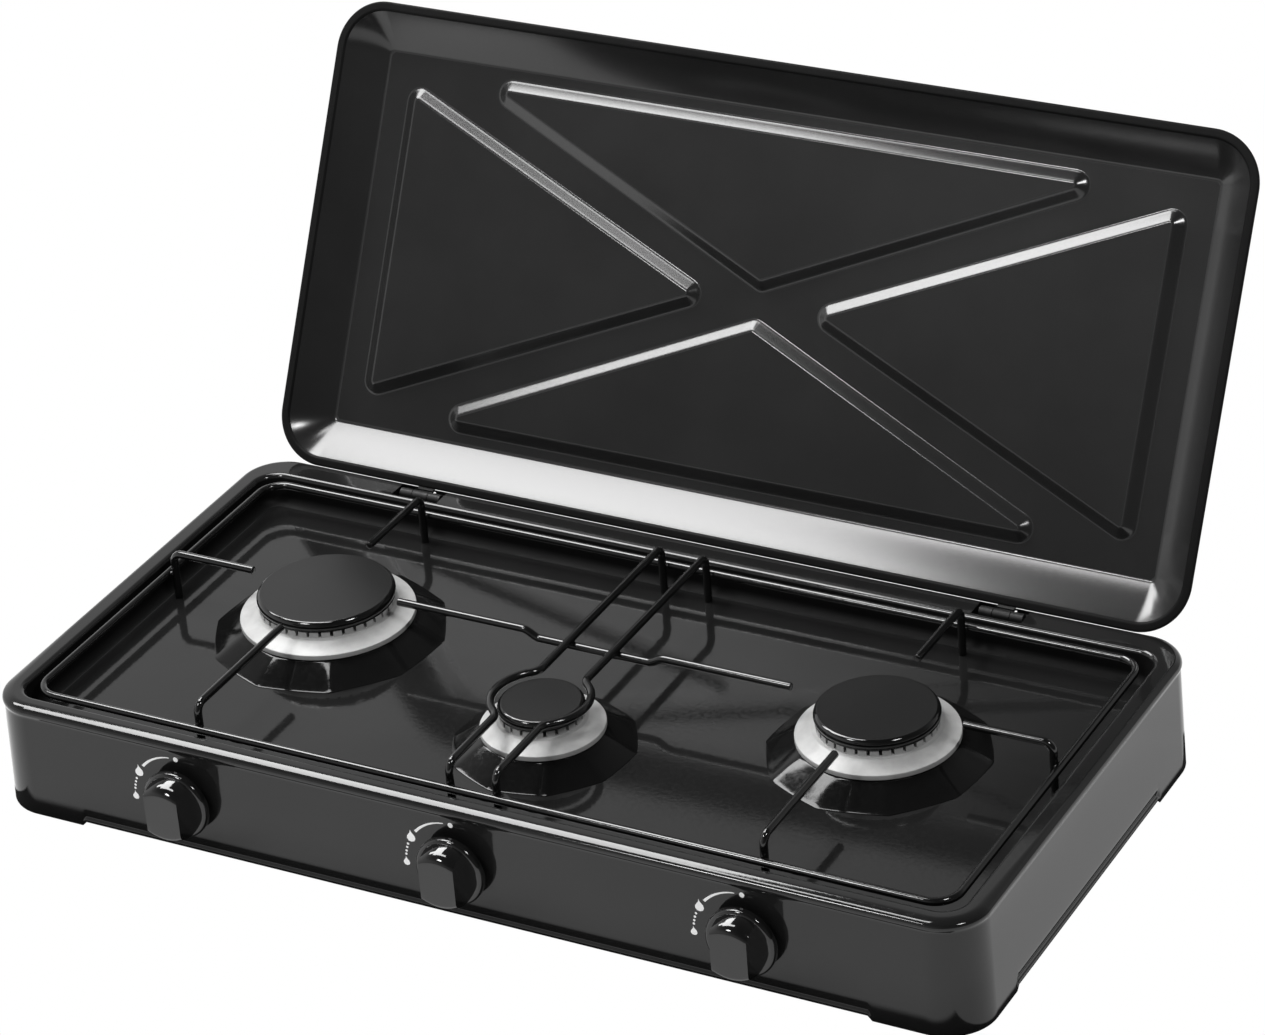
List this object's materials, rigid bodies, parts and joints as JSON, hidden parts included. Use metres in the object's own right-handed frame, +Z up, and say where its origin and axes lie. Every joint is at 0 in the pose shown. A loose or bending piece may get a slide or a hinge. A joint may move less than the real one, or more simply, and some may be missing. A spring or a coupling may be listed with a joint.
{
  "type": "tabletop gas stove",
  "caption": "Flat tabletop gas stove in black enamel with a hinged coved lid, a wire pan grate, capped burners of different sizes and push-and-turn knobs on its front.",
  "frame": {"origin": "middle of the footprint, from the knobs to the open lid, on the surface that the stove stands on", "axes": "+X to the right seen from the front, +Y to the rear, +Z up"},
  "size_m": [0.5922, 0.4462, 0.3098],
  "materials": {
    "black_enamel": "gloss",
    "painted_fittings": "satin",
    "bright_steel": "satin",
    "wire_enamel": "gloss",
    "cast_aluminium": "cast",
    "turned_aluminium": "turned",
    "cap_enamel": "satin",
    "tube_steel": "zinc plated",
    "brass": "machined",
    "knob_plastic": "gloss"
  },
  "bodies": {
    "stove": {"body_shell": "black_enamel", "large_drip_ring": "black_enamel", "small_drip_ring": "black_enamel", "medium_drip_ring": "black_enamel", "left_hinge_bracket": "painted_fittings", "right_hinge_bracket": "painted_fittings", "rail_brackets": "painted_fittings", "left_hinge_pin": "bright_steel", "right_hinge_pin": "bright_steel", "bracket_rivets": "bright_steel", "burner_screws": "bright_steel", "large_burner_cup": "cast_aluminium", "large_mixing_tube": "tube_steel", "large_injector": "brass", "small_burner_cup": "cast_aluminium", "small_mixing_tube": "tube_steel", "small_injector": "brass", "medium_burner_cup": "cast_aluminium", "medium_mixing_tube": "tube_steel", "medium_injector": "brass", "left_tap_body": "brass", "middle_tap_body": "brass", "right_tap_body": "brass", "gas_rail": "tube_steel", "feed_pipe": "tube_steel", "rail_plugs": "brass", "hose_nozzle": "brass", "nozzle_nut": "brass"},
    "lid": {"lid_panel": "black_enamel", "left_hinge_leaf": "painted_fittings", "right_hinge_leaf": "painted_fittings"},
    "grate": {"frame_front_bar": "wire_enamel", "frame_rear_bar": "wire_enamel", "frame_left_end": "wire_enamel", "frame_right_end": "wire_enamel", "grate_cross_wire": "wire_enamel", "grate_left_rail": "wire_enamel", "grate_right_rail": "wire_enamel", "left_rail_loop": "wire_enamel", "right_rail_loop": "wire_enamel", "left_grate_fingers": "wire_enamel", "right_grate_fingers": "wire_enamel"},
    "large_burner_crown": {"large_crown": "turned_aluminium"},
    "large_burner_cap": {"large_cap": "cap_enamel"},
    "small_burner_crown": {"small_crown": "turned_aluminium"},
    "small_burner_cap": {"small_cap": "cap_enamel"},
    "medium_burner_crown": {"medium_crown": "turned_aluminium"},
    "medium_burner_cap": {"medium_cap": "cap_enamel"},
    "left_push": {"left_thrust_washer": "bright_steel"},
    "left_turn": {"left_tap_spindle": "bright_steel", "left_knob": "knob_plastic"},
    "middle_push": {"middle_thrust_washer": "bright_steel"},
    "middle_turn": {"middle_tap_spindle": "bright_steel", "middle_knob": "knob_plastic"},
    "right_push": {"right_thrust_washer": "bright_steel"},
    "right_turn": {"right_tap_spindle": "bright_steel", "right_knob": "knob_plastic"}
  },
  "joints": [
    {"name": "lid_hinge", "type": "hinge", "parent": "stove", "child": "lid", "pos_m": [0, 0.08296, 0.0652], "axis": [-1, 0, 0], "range_deg": [-118, 0]},
    {"name": "grate_lift", "type": "slide", "parent": "stove", "child": "grate", "axis": [0, 0, 1], "range_m": [0, 0.06]},
    {"name": "large_crown_lift", "type": "slide", "parent": "stove", "child": "large_burner_crown", "axis": [0, 0, 1], "range_m": [0, 0.008]},
    {"name": "large_cap_lift", "type": "slide", "parent": "large_burner_crown", "child": "large_burner_cap", "axis": [0, 0, 1], "range_m": [0, 0.04]},
    {"name": "small_crown_lift", "type": "slide", "parent": "stove", "child": "small_burner_crown", "axis": [0, 0, 1], "range_m": [0, 0.0072]},
    {"name": "small_cap_lift", "type": "slide", "parent": "small_burner_crown", "child": "small_burner_cap", "axis": [0, 0, 1], "range_m": [0, 0.04]},
    {"name": "medium_crown_lift", "type": "slide", "parent": "stove", "child": "medium_burner_crown", "axis": [0, 0, 1], "range_m": [0, 0.008]},
    {"name": "medium_cap_lift", "type": "slide", "parent": "medium_burner_crown", "child": "medium_burner_cap", "axis": [0, 0, 1], "range_m": [0, 0.04]},
    {"name": "left_knob_push", "type": "slide", "parent": "stove", "child": "left_push", "axis": [0, 1, 0], "range_m": [0, 0.003], "stiffness_N_per_m": 800},
    {"name": "left_knob_turn", "type": "hinge", "parent": "left_push", "child": "left_turn", "pos_m": [-0.17, -0.20662, 0.034], "axis": [0, -1, 0], "range_deg": [0, 95]},
    {"name": "middle_knob_push", "type": "slide", "parent": "stove", "child": "middle_push", "axis": [0, 1, 0], "range_m": [0, 0.003], "stiffness_N_per_m": 800},
    {"name": "middle_knob_turn", "type": "hinge", "parent": "middle_push", "child": "middle_turn", "pos_m": [0, -0.20662, 0.034], "axis": [0, -1, 0], "range_deg": [0, 95]},
    {"name": "right_knob_push", "type": "slide", "parent": "stove", "child": "right_push", "axis": [0, 1, 0], "range_m": [0, 0.003], "stiffness_N_per_m": 800},
    {"name": "right_knob_turn", "type": "hinge", "parent": "right_push", "child": "right_turn", "pos_m": [0.17, -0.20662, 0.034], "axis": [0, -1, 0], "range_deg": [0, 95]}
  ]
}
